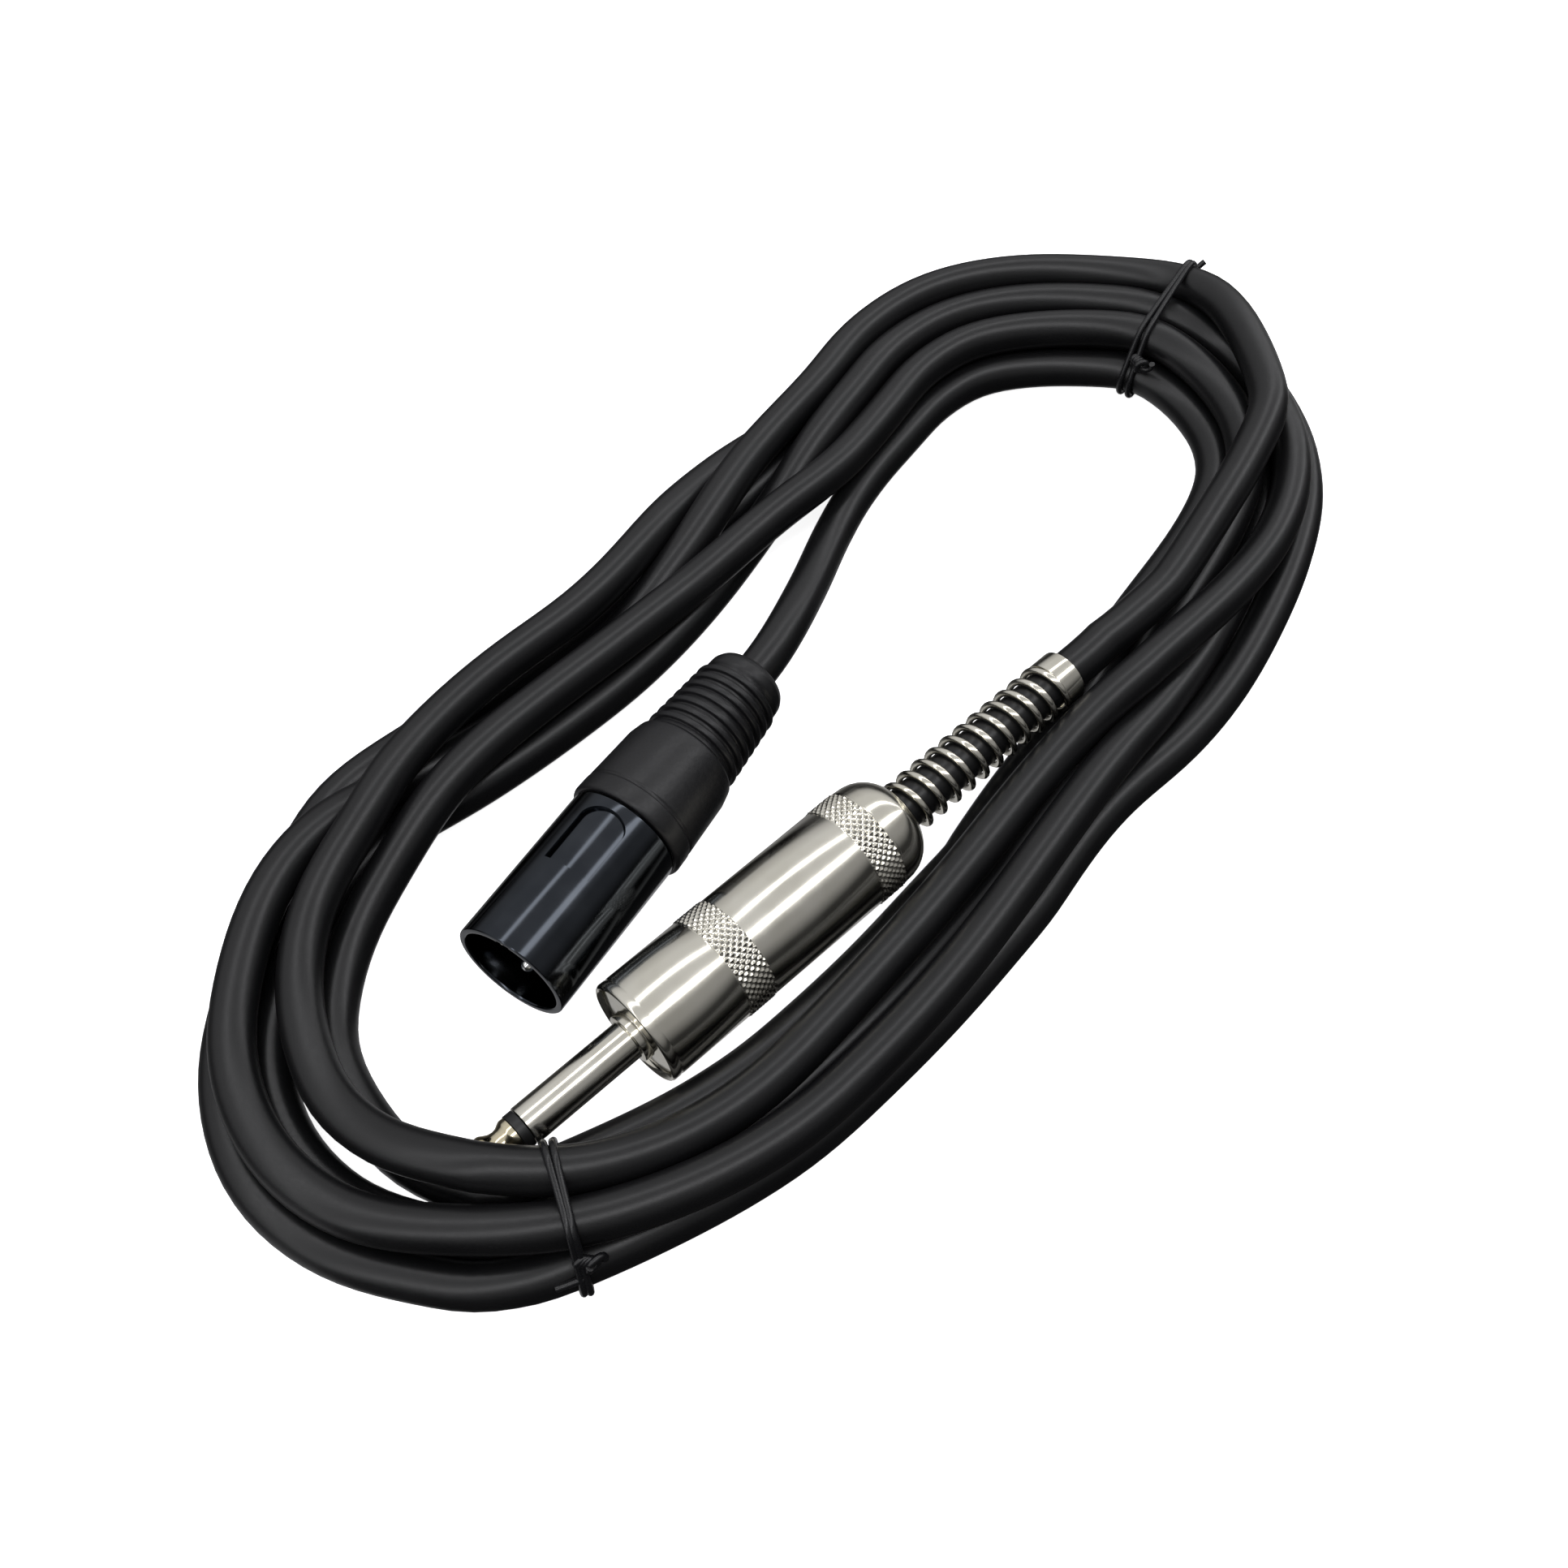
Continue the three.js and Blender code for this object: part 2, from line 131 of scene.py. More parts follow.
# Where the cable lies in each turn, as (station, outward from the middle line, height)
TURNS = (
    # Low and innermost, then up to the inside of the upper layer
    (
        (1.8, -8.5, 3.5), (3, -9.5, 3.5), (4, -10.5, 3.5), (5, -10.8, 3.5), (6, -10, 4.6),
        (7, -8.8, 3.5), (8, -7, 3.5), (9, -6.1, 3.5), (11, -6.2, 3.5), (13, -7, 3.5),
        (15, -6.6, 3.5), (18, -8.4, 3.5), (19, -9, 4.4), (20, -7.8, 3.6), (21, -8.2, 3.5),
        (22, -9.2, 3.5), (23, -8.2, 3.5), (24, -7.2, 3.5), (25, -6.8, 4.5), (26, -6, 7.5),
        (27, -5.6, 9.8), (28, -6.2, 10), (30, -6.4, 10),
    ),
    # Upper inside at the far end, then low in the middle
    (
        (1, -5, 10), (2, -4.2, 9.8), (3, -4.8, 9.6), (4, -5.5, 9.6), (5, -5.5, 9.7), (6, -5, 10.2),
        (7, -4.5, 9.6), (8, -3.2, 9), (9, -2.6, 8), (10, -1.8, 7), (11, -1, 5.5), (12, -0.4, 4),
        (13, -0.2, 3.5), (15, -0.3, 3.5), (17, -2, 3.5), (19, -3, 4.4), (20, -0.6, 4),
        (21, 1.2, 3.5), (22, 2, 3.5), (23, 1.4, 3.5), (24, 0.6, 3.5), (25, -0.8, 3.5),
        (26, -3.5, 3.5), (27, -7, 3.5), (28, -8.6, 3.5), (29, -8.6, 3.5), (30, -6.8, 3.5),
    ),
    # Upper middle, over the jack's nose, then out across the left end
    (
        (0, -1, 4.5), (0.8, 1.5, 7.5), (1.5, 2, 9.8), (2, 2.4, 10), (4, 2.2, 10), (5, 1, 10),
        (6, 1.2, 10.6), (7, 2.5, 10), (8, 3.5, 9.6), (9, 4.2, 9.6), (10, 4.8, 9.6), (11, 3.6, 9.8),
        (12, 1, 10), (13, -2, 10), (14, -3.6, 9.8), (15, -4, 9.6), (17, -2.8, 9.8), (18, -3, 10.5),
        (19, -5.2, 12.2), (20, -7.4, 12.6), (21, -7.6, 11), (22, -6.4, 10.2), (22.8, -6.2, 10),
        (23.3, -6, 10), (24, -3.3, 9.8), (25, -0.5, 10), (26, 2.6, 10.2), (27, 4.2, 10.3),
        (28, 4.6, 10.2), (29, 3.2, 10), (30, 3.4, 9.2), (30.6, 4.6, 7),
    ),
    # Low and outermost
    (
        (0.3, 6, 3.5), (1, 6.8, 3.5), (2, 8.5, 3.5), (3, 9.5, 3.5), (5, 9.4, 3.5), (6, 8.8, 4.6),
        (7, 8, 3.5), (8, 6.8, 3.5), (9, 5.6, 3.5), (10, 4.8, 3.5), (12, 4.4, 3.5), (14, 4.6, 3.5),
        (17, 3.6, 3.5), (18, 2, 3.5), (19, 1.6, 4.2), (20, 3.6, 3.6), (21, 7.4, 3.5), (22, 9.4, 3.5),
        (23, 8, 3.5), (25, 6, 3.5), (26, 5, 3.5), (28, 4, 3.5), (29, 4.2, 3.5), (30, 4.6, 3.5),
    ),
    # Low in the middle, up to the outside round the near end, down and up again
    (
        (0, 2, 3.5), (1, 0.5, 3.5), (2, -1, 3.5), (4, -2.5, 3.5), (5, -2.5, 3.5), (6, -1.5, 4.6),
        (7, 0, 3.5), (9, 0.2, 3.5), (11, 0.5, 3.5), (12, 2, 4.5), (13, 4.6, 8), (14, 5.4, 10),
        (15, 5.4, 10.3), (17, 4.8, 10.2), (18, 3.6, 10), (19, 2.2, 10.2), (20, 2, 9.9),
        (21, 3.4, 9.8), (22, 4.4, 9.8), (23, 5.2, 10.2), (24, 5.6, 10.4), (25, 5.8, 10.2),
        (25.6, 5.8, 9), (26.3, 3.6, 6), (27, 1, 4.2), (28, -1.2, 3.6), (29, -1, 4.5),
        (29.7, 1.2, 7.5), (30.3, 2.6, 9.8),
    ),
    # Outermost on top, then across the others to the jack
    (
        (0, 5.5, 10.3), (0.6, 7.2, 10.2), (1, 8, 10), (2, 9.3, 9.8), (3, 9.2, 9.8), (4, 8.8, 9.8),
        (5, 7, 10.4), (6, 4.4, 11.6), (6.8, 2.6, 13.4), (7.4, 1.2, 14.8), (8, 0.2, 15.2),
        (8.5, -0.6, 14.8),
    ),
)

# The free stretches at the two plugs: places along each plug's axis, then points beyond it
XLR_LEAD_ON_AXIS = (42.8, 55, 64, 70)
XLR_LEAD = (
    (45.2, 20.4, 9.2), (56.7, 23.5, 6.0), (67.8, 26.7, 4.0), (77.7, 28.7, 3.5), (87.8, 29.4, 3.5),
)
JACK_LEAD_ON_AXIS = (134, 122, 100, 80, 64)
JACK_LEAD = (
    (121, -30, 13.0), (111, -31.5, 11.6), (100, -31.8, 11.2), (88, -31, 11.6), (76, -28.6, 11.9),
)


# ---- named values: the finishes ----
# How fine the marks in a plating are along x, y and z
TURNING_LINES = (5200.0, 60.0, 60.0)
STRAND_LINES = (900.0, 5200.0, 5200.0)

# The slot of every CAD node that stays in sight
CAD_FINISHES = {
    "black_plastic": ("xlr_insert", "xlr_chuck", "xlr_gland_nut", "jack_rear_insulator"),
    "silver": ("xlr_ground_contact", "jack_tip_lug", "jack_sleeve_lug"),
    "clear_plastic": ("jack_liner",),
    "red_core": ("xlr_wire_hot", "jack_wire_hot"),
    "bare_copper": ("xlr_wire_shield", "jack_wire_shield"),
    "white_core": ("xlr_wire_link",),
}


# ---- places ----
XLR_PLACE = Matrix.Translation(Vector(XLR_AT) * MM)
JACK_PLACE = (
    Matrix.Translation(Vector(JACK_AT) * MM)
    @ Matrix.Rotation(JACK_YAW, 4, "Z")
    @ Matrix.Rotation(-JACK_RISE, 4, "Y")
)


def on_xlr(x):
    return np.array(XLR_AT) + np.array((x, 0.0, 0.0))


def on_jack(x):
    along = (
        math.cos(JACK_YAW) * math.cos(JACK_RISE),
        math.sin(JACK_YAW) * math.cos(JACK_RISE),
        math.sin(JACK_RISE),
    )
    return np.array(JACK_AT) + x * np.array(along)


# ---- the cable's route ----
def middle_line(stations):
    """Points of the closed Catmull-Rom line through the stations."""
    line = np.array(STATIONS, float)
    whole = np.floor(stations).astype(int)
    part = (stations - whole)[:, None]
    a, b, c, d = (line[(whole + k) % len(line)] for k in (-1, 0, 1, 2))
    return 0.5 * (
        2 * b
        + (c - a) * part
        + (2 * a - 5 * b + 4 * c - d) * part**2
        + (3 * b - a - 3 * c + d) * part**3
    )


def smoothed(values, width):
    """Columns of values smoothed over width neighbours on each side."""
    window = np.hanning(2 * width + 3)[1:-1]
    window /= window.sum()
    padded = np.vstack([np.repeat(values[:1], width, 0), values, np.repeat(values[-1:], width, 0)])
    columns = [np.convolve(padded[:, k], window, "valid") for k in range(values.shape[1])]
    return np.stack(columns, 1)


def resampled(points, step):
    """The same line with points an even step apart."""
    lengths = np.linalg.norm(np.diff(points, axis=0), axis=1)
    along = np.concatenate([[0.0], np.cumsum(lengths)])
    even = np.linspace(0, along[-1], int(round(along[-1] / step)) + 1)
    return np.stack([np.interp(even, along, points[:, k]) for k in range(3)], 1)


def planned_route():
    """The cable's line before it settles, from one plug round the coil to the other."""
    lanes = []
    for turn, places in enumerate(TURNS):
        lanes += [(station + turn * len(STATIONS), out, up) for station, out, up in places]
    lanes = np.array(lanes, float)
    stations = np.arange(lanes[0, 0], lanes[-1, 0], 0.1)
    tangent = middle_line(stations + 0.05) - middle_line(stations - 0.05)
    tangent /= np.linalg.norm(tangent, axis=1)[:, None]
    outward = np.stack([-tangent[:, 1], tangent[:, 0]], 1)
    offsets = np.interp(stations, lanes[:, 0], lanes[:, 1])
    heights = np.interp(stations, lanes[:, 0], lanes[:, 2])
    offsets, heights = smoothed(np.stack([offsets, heights], 1), 8).T
    coil = np.column_stack([middle_line(stations) + outward * offsets[:, None], heights])
    start = [on_xlr(x) for x in XLR_LEAD_ON_AXIS] + [np.array(p) for p in XLR_LEAD]
    end = [np.array(p) for p in JACK_LEAD] + [on_jack(x) for x in JACK_LEAD_ON_AXIS]
    fine = resampled(np.vstack([start, coil, end]), 0.8)
    return resampled(smoothed(fine, 9), POINT_STEP)


def push_out(points, start, end, radius):
    """How far points must move to clear a round bar from start to end."""
    along = end - start
    share = np.clip((points - start) @ along / (along @ along), 0, 1)
    away = points - (start + share[:, None] * along)
    distance = np.linalg.norm(away, axis=1) + 1e-9
    clear = radius + CORD_R
    return np.where(distance < clear, (clear - distance) / distance, 0)[:, None] * away


def plug_push(points):
    """How far points must move to clear the jack's shaft, barrel and spring, and the XLR plug."""
    push = push_out(points, on_jack(3.4), on_jack(30.0), SHAFT_R + 0.05)
    push += push_out(points, on_jack(35.0), on_jack(87.0), BARREL_R + 0.2)
    push += push_out(points, on_jack(88.0), on_jack(133.0), BAND_R + 0.45)
    push += push_out(points, on_xlr(5.0), on_xlr(52.0), SHELL_R + 0.5)
    return push


def resting_height(points):
    """The lowest a strand can lie: on the table, or on a tie's wire near a tie."""
    height = np.full(len(points), CORD_R)
    for station, width in ((FAR_TIE, 16.0), (NEAR_TIE, 12.0)):
        away = np.linalg.norm(points[:, :2] - np.array(STATIONS[station], float), axis=1)
        height += TIE_LIFT * np.exp(-2 * (away / width) ** 2)
    return height


def strand_push(points, apart):
    """How far points must move so that strands lie a diameter from each other."""
    square = (points**2).sum(1)
    near = square[:, None] + square[None, :] - 2 * points @ points.T < (2 * CORD_R) ** 2
    first, second = np.where(near & apart)
    gap = points[first] - points[second]
    distance = np.linalg.norm(gap, axis=1) + 1e-9
    half = (PUSH_SHARE * (2 * CORD_R - distance) / distance)[:, None] * gap
    push = np.zeros_like(points)
    count = np.zeros(len(points))
    np.add.at(push, first, half)
    np.add.at(push, second, -half)
    np.add.at(count, first, 1)
    np.add.at(count, second, 1)
    return push / np.sqrt(np.maximum(count, 1))[:, None]


def settled_route():
    """The planned line pushed apart until the strands lie on and beside each other."""
    plan = planned_route()
    points = plan.copy()
    order = np.arange(len(points))
    apart = order[None, :] - order[:, None] > SAME_STRAND_POINTS
    from_ends = np.minimum(order - HELD_AT_START, order[::-1] - HELD_AT_END)
    free = np.clip(from_ends / RELEASE_POINTS, 0, 1)[:, None]
    for step in range(SETTLE_STEPS):
        if step < SETTLE_STEPS - SINK_STOPS_BEFORE_END:
            points[:, 2] -= SINK * free[:, 0]
        points += strand_push(points, apart) * free
        points += plug_push(points) * free
        points[:, 2] = np.maximum(points[:, 2], resting_height(points) * free[:, 0])
        moved = points - plan
        moved = 0.35 * smoothed(moved, 2) + 0.65 * moved
        if step < SETTLE_STEPS - PULL_STOPS_BEFORE_END:
            moved *= PULL
        points = plan + moved * free
    return points


# ---- meshes and curves ----
def finished_mesh(name, bm, place, crease):
    """An object of the mesh, smooth apart from edges sharper than crease degrees."""
    bmesh.ops.recalc_face_normals(bm, faces=bm.faces)
    mesh = bpy.data.meshes.new(name)
    bm.to_mesh(mesh)
    bm.free()
    mesh.shade_smooth()
    mesh.set_sharp_from_angle(angle=math.radians(crease))
    obj = bpy.data.objects.new(name, mesh)
    obj.matrix_world = place
    bpy.context.scene.collection.objects.link(obj)
    return obj


def rounded(profile, radius, closed):
    """The profile with each corner cut by a short arc of at most this radius."""
    count = len(profile)
    result = []
    for i, corner in enumerate(profile):
        if not closed and i in (0, count - 1):
            result.append(corner)
            continue
        here = Vector(corner)
        before = Vector(profile[i - 1]) - here
        after = Vector(profile[(i + 1) % count]) - here
        if before.angle(after) > math.radians(165):
            result.append(corner)
            continue
        reach = min(radius, 0.45 * before.length, 0.45 * after.length)
        start = here + before.normalized() * reach
        end = here + after.normalized() * reach
        for share in (0.0, 0.33, 0.67, 1.0):
            point = start * (1 - share) ** 2 + here * 2 * share * (1 - share) + end * share**2
            result.append(tuple(point))
    return result


def turned(name, profile, sides, place, closed=True, relief=None, crease=32):
    """A solid of revolution about local x. A closed profile makes a tube, an open one ends on the axis."""
    bm = bmesh.new()
    rings = []
    for x, radius in profile:
        if radius < 1e-6:
            rings.append([bm.verts.new((x * MM, 0, 0))])
            continue
        ring = []
        for k in range(sides):
            angle = 2 * math.pi * k / sides
            r = radius + (relief(x, radius, angle) if relief else 0.0)
            ring.append(bm.verts.new((x * MM, r * MM * math.cos(angle), r * MM * math.sin(angle))))
        rings.append(ring)
    pairs = list(zip(rings, rings[1:]))
    if closed:
        pairs.append((rings[-1], rings[0]))
    for a, b in pairs:
        for k in range(sides):
            n = (k + 1) % sides
            corners = [a[k % len(a)], a[n % len(a)], b[n % len(b)], b[k % len(b)]]
            unique = list(dict.fromkeys(corners))
            if len(unique) > 2:
                bm.faces.new(unique)
    return finished_mesh(name, bm, place, crease)


def prism(name, outline, low, high, place):
    """A block with an outline in local x and y, between two heights."""
    bm = bmesh.new()
    bottom = [bm.verts.new((x * MM, y * MM, low * MM)) for x, y in outline]
    top = [bm.verts.new((x * MM, y * MM, high * MM)) for x, y in outline]
    bm.faces.new(bottom[::-1])
    bm.faces.new(top)
    for k in range(len(outline)):
        n = (k + 1) % len(outline)
        bm.faces.new([bottom[k], bottom[n], top[n], top[k]])
    return finished_mesh(name, bm, place, 30)


def apply_modifiers(obj):
    """Replaces the object's mesh by the result of its modifiers."""
    graph = bpy.context.evaluated_depsgraph_get()
    mesh = bpy.data.meshes.new_from_object(obj.evaluated_get(graph))
    obj.modifiers.clear()
    obj.data = mesh


def cut_away(obj, cutters, crease=32):
    for cutter in cutters:
        boolean = obj.modifiers.new("cut", "BOOLEAN")
        boolean.operation = "DIFFERENCE"
        boolean.solver = "EXACT"
        boolean.object = cutter
    bpy.context.view_layer.update()
    apply_modifiers(obj)
    obj.data.shade_smooth()
    obj.data.set_sharp_from_angle(angle=math.radians(crease))
    for cutter in cutters:
        bpy.data.objects.remove(cutter)


def wire(name, lines, radius, place, closed=False, resolution=6):
    """A curve object with one round strand along each list of points."""
    curve = bpy.data.curves.new(name, "CURVE")
    curve.dimensions = "3D"
    curve.bevel_depth = radius * MM
    curve.bevel_resolution = resolution
    curve.use_fill_caps = True
    for points in lines:
        spline = curve.splines.new("POLY")
        spline.points.add(len(points) - 1)
        for k, (x, y, z) in enumerate(points):
            spline.points[k].co = (x * MM, y * MM, z * MM, 1.0)
        spline.use_cyclic_u = closed
        spline.use_smooth = True
    obj = bpy.data.objects.new(name, curve)
    obj.matrix_world = place
    bpy.context.scene.collection.objects.link(obj)
    return obj


# ---- materials ----
class Nodes:
    """Short names for the node tree of one material."""

    def __init__(self, name):
        self.material = bpy.data.materials.new(name)
        self.material.use_nodes = True
        self.tree = self.material.node_tree
        self.shader = self.tree.nodes["Principled BSDF"]

    def add(self, kind, **values):
        node = self.tree.nodes.new(kind)
        for key, value in values.items():
            if key in node.inputs:
                node.inputs[key].default_value = value
            else:
                setattr(node, key, value)
        return node

    def link(self, source, target):
        self.tree.links.new(source, target)

    def place(self):
        return self.add("ShaderNodeTexCoord").outputs["Object"]

    def noise(self, scale, detail=3.0, stretch=None):
        """Noise over the object, or stretched so that it varies mostly along one axis."""
        noise = self.add("ShaderNodeTexNoise", Scale=scale, Detail=detail)
        source = self.place()
        if stretch:
            mapping = self.add("ShaderNodeMapping", Scale=stretch)
            self.link(source, mapping.inputs["Vector"])
            source = mapping.outputs["Vector"]
        self.link(source, noise.inputs["Vector"])
        return noise.outputs["Fac"]

    def ramp(self, factor, dark, light, low=0.35, high=0.65):
        ramp = self.add("ShaderNodeValToRGB")
        ramp.color_ramp.elements[0].position = low
        ramp.color_ramp.elements[1].position = high
        ramp.color_ramp.elements[0].color = (*dark, 1)
        ramp.color_ramp.elements[1].color = (*light, 1)
        self.link(factor, ramp.inputs["Fac"])
        return ramp.outputs["Color"]

    def span(self, factor, low, high):
        span = self.add("ShaderNodeMapRange")
        span.inputs["From Min"].default_value = 0.3
        span.inputs["From Max"].default_value = 0.7
        span.inputs["To Min"].default_value = low
        span.inputs["To Max"].default_value = high
        self.link(factor, span.inputs["Value"])
        return span.outputs["Result"]

    def bump(self, height, distance, strength=0.5):
        bump = self.add("ShaderNodeBump", Strength=strength, Distance=distance * MM)
        self.link(height, bump.inputs["Height"])
        return bump.outputs["Normal"]


def plastic(name, dark, light, rough, grain, depth, specular=0.5):
    """Moulded plastic or rubber: a fine skin grain, soft blotches of sheen and colour."""
    nodes = Nodes(name)
    fine = nodes.noise(grain, 4.0)
    broad = nodes.noise(90.0, 2.0)
    nodes.link(nodes.ramp(broad, dark, light), nodes.shader.inputs["Base Color"])
    nodes.link(nodes.span(fine, *rough), nodes.shader.inputs["Roughness"])
    nodes.link(nodes.bump(fine, depth), nodes.shader.inputs["Normal"])
    nodes.shader.inputs["Specular IOR Level"].default_value = specular
    return nodes.material


def metal(name, dark, light, rough, lines, depth):
    """Plated metal: turning lines round the axis, faint smudges, slight colour change."""
    nodes = Nodes(name)
    turning = nodes.noise(1.0, 2.0, stretch=lines)
    smudge = nodes.noise(160.0, 3.0)
    nodes.link(nodes.ramp(smudge, dark, light), nodes.shader.inputs["Base Color"])
    nodes.link(nodes.span(smudge, *rough), nodes.shader.inputs["Roughness"])
    nodes.link(nodes.bump(turning, depth, 0.35), nodes.shader.inputs["Normal"])
    nodes.shader.inputs["Metallic"].default_value = 1.0
    return nodes.material


def make_materials():
    """One finish for each slot. Colours are (dark, light), then roughness, grain or lines, and depth."""
    return {
        "jacket": plastic(
            "jacket_pvc", (0.0045, 0.0045, 0.005), (0.0065, 0.0065, 0.007), (0.30, 0.38), 2400, 0.010, 0.48
        ),
        "black_chrome": metal(
            "black_chrome", (0.044, 0.049, 0.057), (0.055, 0.061, 0.070), (0.10, 0.16), TURNING_LINES, 0.003
        ),
        "black_rubber": plastic(
            "black_rubber", (0.004, 0.004, 0.005), (0.007, 0.007, 0.008), (0.34, 0.46), 1800, 0.05
        ),
        "black_plastic": plastic(
            "black_plastic", (0.008, 0.008, 0.008), (0.012, 0.012, 0.012), (0.34, 0.44), 2200, 0.03
        ),
        "nickel": metal(
            "nickel_plate", (0.80, 0.77, 0.67), (0.86, 0.83, 0.74), (0.12, 0.19), TURNING_LINES, 0.004
        ),
        "gilt": metal(
            "gilt_plate", (0.78, 0.68, 0.45), (0.86, 0.78, 0.58), (0.10, 0.18), TURNING_LINES, 0.003
        ),
        "silver": metal(
            "silver_contact", (0.80, 0.80, 0.78), (0.88, 0.88, 0.87), (0.14, 0.24), TURNING_LINES, 0.003
        ),
        "clear_plastic": liner_material(),
        "red_core": plastic("red_core", (0.50, 0.06, 0.06), (0.60, 0.09, 0.08), (0.38, 0.5), 2500, 0.02),
        "white_core": plastic("white_core", (0.78, 0.78, 0.75), (0.86, 0.86, 0.84), (0.38, 0.5), 2500, 0.02),
        "bare_copper": metal(
            "copper_strands", (0.66, 0.36, 0.18), (0.80, 0.50, 0.30), (0.22, 0.34), STRAND_LINES, 0.05
        ),
        "tie_plastic": plastic(
            "tie_coating", (0.006, 0.006, 0.007), (0.010, 0.010, 0.011), (0.24, 0.34), 2600, 0.02
        ),
    }


def liner_material():
    """The milky insulating sleeve inside the jack."""
    nodes = Nodes("liner_plastic")
    haze = nodes.noise(300.0, 3.0)
    nodes.link(nodes.ramp(haze, (0.66, 0.64, 0.58), (0.76, 0.74, 0.69)), nodes.shader.inputs["Base Color"])
    nodes.link(nodes.span(haze, 0.25, 0.38), nodes.shader.inputs["Roughness"])
    nodes.shader.inputs["Subsurface Weight"].default_value = 0.4
    nodes.shader.inputs["Subsurface Radius"].default_value = (0.001, 0.001, 0.0008)
    return nodes.material


def dress(obj, body, slot, *replaced):
    """Gives a new piece its body and its slot's finish, and hides the CAD nodes that it stands for."""
    obj.data.materials.clear()
    obj.data.materials.append(MATERIALS[slot])
    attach(obj, body)
    if replaced:
        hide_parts(*replaced)
    return obj


def dress_cad_nodes():
    """Puts the procedural finish of its slot on every CAD node that stays in sight."""
    for slot, names in CAD_FINISHES.items():
        for name in names:
            obj = NODES[name]
            if not obj.material_slots:
                obj.data.materials.append(MATERIALS[slot])
            for holder in obj.material_slots:
                holder.material = MATERIALS[slot]


# ---- camera, light and floor ----
def make_camera():
    data = bpy.data.cameras.new("camera")
    data.lens = LENS
    data.sensor_width = SENSOR
    data.clip_start = 0.01
    data.clip_end = 20
    camera = bpy.data.objects.new("camera", data)
    camera.location = Vector(CAMERA_AT) * MM
    direction = (Vector(CAMERA_AIM) - Vector(CAMERA_AT)).normalized()
    camera.rotation_euler = direction.to_track_quat("-Z", "Y").to_euler()
    bpy.context.scene.collection.objects.link(camera)
    bpy.context.scene.camera = camera


def soft_light(name, at, power):
    """A large soft light on the whole coil that leaves no patch of its own on the plating."""
    data = bpy.data.lights.new(name, "AREA")
    data.shape = "RECTANGLE"
    data.size, data.size_y = LIGHT_SIZE
    data.energy = power
    light = bpy.data.objects.new(name, data)
    light.location = at
    light.visible_glossy = False
    light.rotation_euler = (Vector(LIGHT_AIM) - Vector(at)).to_track_quat("-Z", "Y").to_euler()
    bpy.context.scene.collection.objects.link(light)


def make_studio():
    """A dome of soft light in strips along the jack, seen as lengthwise bands on everything round."""
    world = bpy.data.worlds.new("studio")
    world.use_nodes = True
    tree = world.node_tree
    background = tree.nodes["Background"]
    direction = tree.nodes.new("ShaderNodeTexCoord").outputs["Generated"]
    sideways = tree.nodes.new("ShaderNodeVectorMath")
    sideways.operation = "DOT_PRODUCT"
    sideways.inputs[1].default_value = (math.sin(JACK_YAW), -math.cos(JACK_YAW), 0)
    upward = tree.nodes.new("ShaderNodeSeparateXYZ")
    angle = tree.nodes.new("ShaderNodeMath")
    angle.operation = "ARCTAN2"
    share = tree.nodes.new("ShaderNodeMapRange")
    share.inputs["From Min"].default_value = -math.pi
    share.inputs["From Max"].default_value = math.pi
    ramp = tree.nodes.new("ShaderNodeValToRGB")
    tree.links.new(direction, sideways.inputs[0])
    tree.links.new(direction, upward.inputs[0])
    tree.links.new(sideways.outputs["Value"], angle.inputs[0])
    tree.links.new(upward.outputs["Z"], angle.inputs[1])
    tree.links.new(angle.outputs["Value"], share.inputs["Value"])
    tree.links.new(share.outputs["Result"], ramp.inputs["Fac"])
    tree.links.new(ramp.outputs["Color"], background.inputs["Color"])
    stops = ramp.color_ramp.elements
    while len(stops) < len(DOME_STRIPS):
        stops.new(0.5)
    for stop, (degrees, level) in zip(stops, DOME_STRIPS):
        stop.position = degrees / 360 + 0.5
        stop.color = (level, level, level * 1.02, 1)
    background.inputs["Strength"].default_value = DOME_STRENGTH
    bpy.context.scene.world = world
    bpy.context.scene.view_settings.view_transform = "Standard"
    soft_light("key_left", (-0.75, 0.45, 0.75), 0.9)
    soft_light("key_right", (-0.10, -0.85, 0.75), 0.5)


def white_paper():
    """A bright, almost shineless white."""
    nodes = Nodes("white_paper")
    paper = nodes.noise(6.0, 2.0)
    nodes.link(nodes.ramp(paper, (0.93, 0.93, 0.93), (0.95, 0.95, 0.95)), nodes.shader.inputs["Base Color"])
    nodes.shader.inputs["Roughness"].default_value = 0.9
    nodes.shader.inputs["Specular IOR Level"].default_value = 0.1
    nodes.shader.inputs["Emission Color"].default_value = (1, 1, 1, 1)
    nodes.shader.inputs["Emission Strength"].default_value = FLOOR_GLOW
    return nodes.material


def make_floor():
    """A white floor with a white wall all round it. Only the floor keeps the dome's light out."""
    bm = bmesh.new()
    bmesh.ops.create_grid(bm, x_segments=1, y_segments=1, size=FLOOR_HALF)
    floor = finished_mesh("floor", bm, Matrix.Translation((0, 0, -0.0002)), 30)
    upright = Matrix.Rotation(-math.pi / 2, 4, "Y")
    wall = turned("backdrop", WALL, 96, upright, closed=False)
    wall.visible_shadow = False
    paper = white_paper()
    for sheet in (floor, wall):
        sheet.data.materials.append(paper)
        sheet.visible_glossy = False
        sheet.visible_diffuse = False


# ---- the cable and its ties ----
def make_cord(route):
    """The whole cable, from the XLR boot through the coil into the jack."""
    cord = wire("cable", [route], CORD_R, Matrix(), resolution=8)
    return dress(cord, "lead_body", "jacket", "cable_coil", "cable_lead_xlr", "cable_lead_jack")


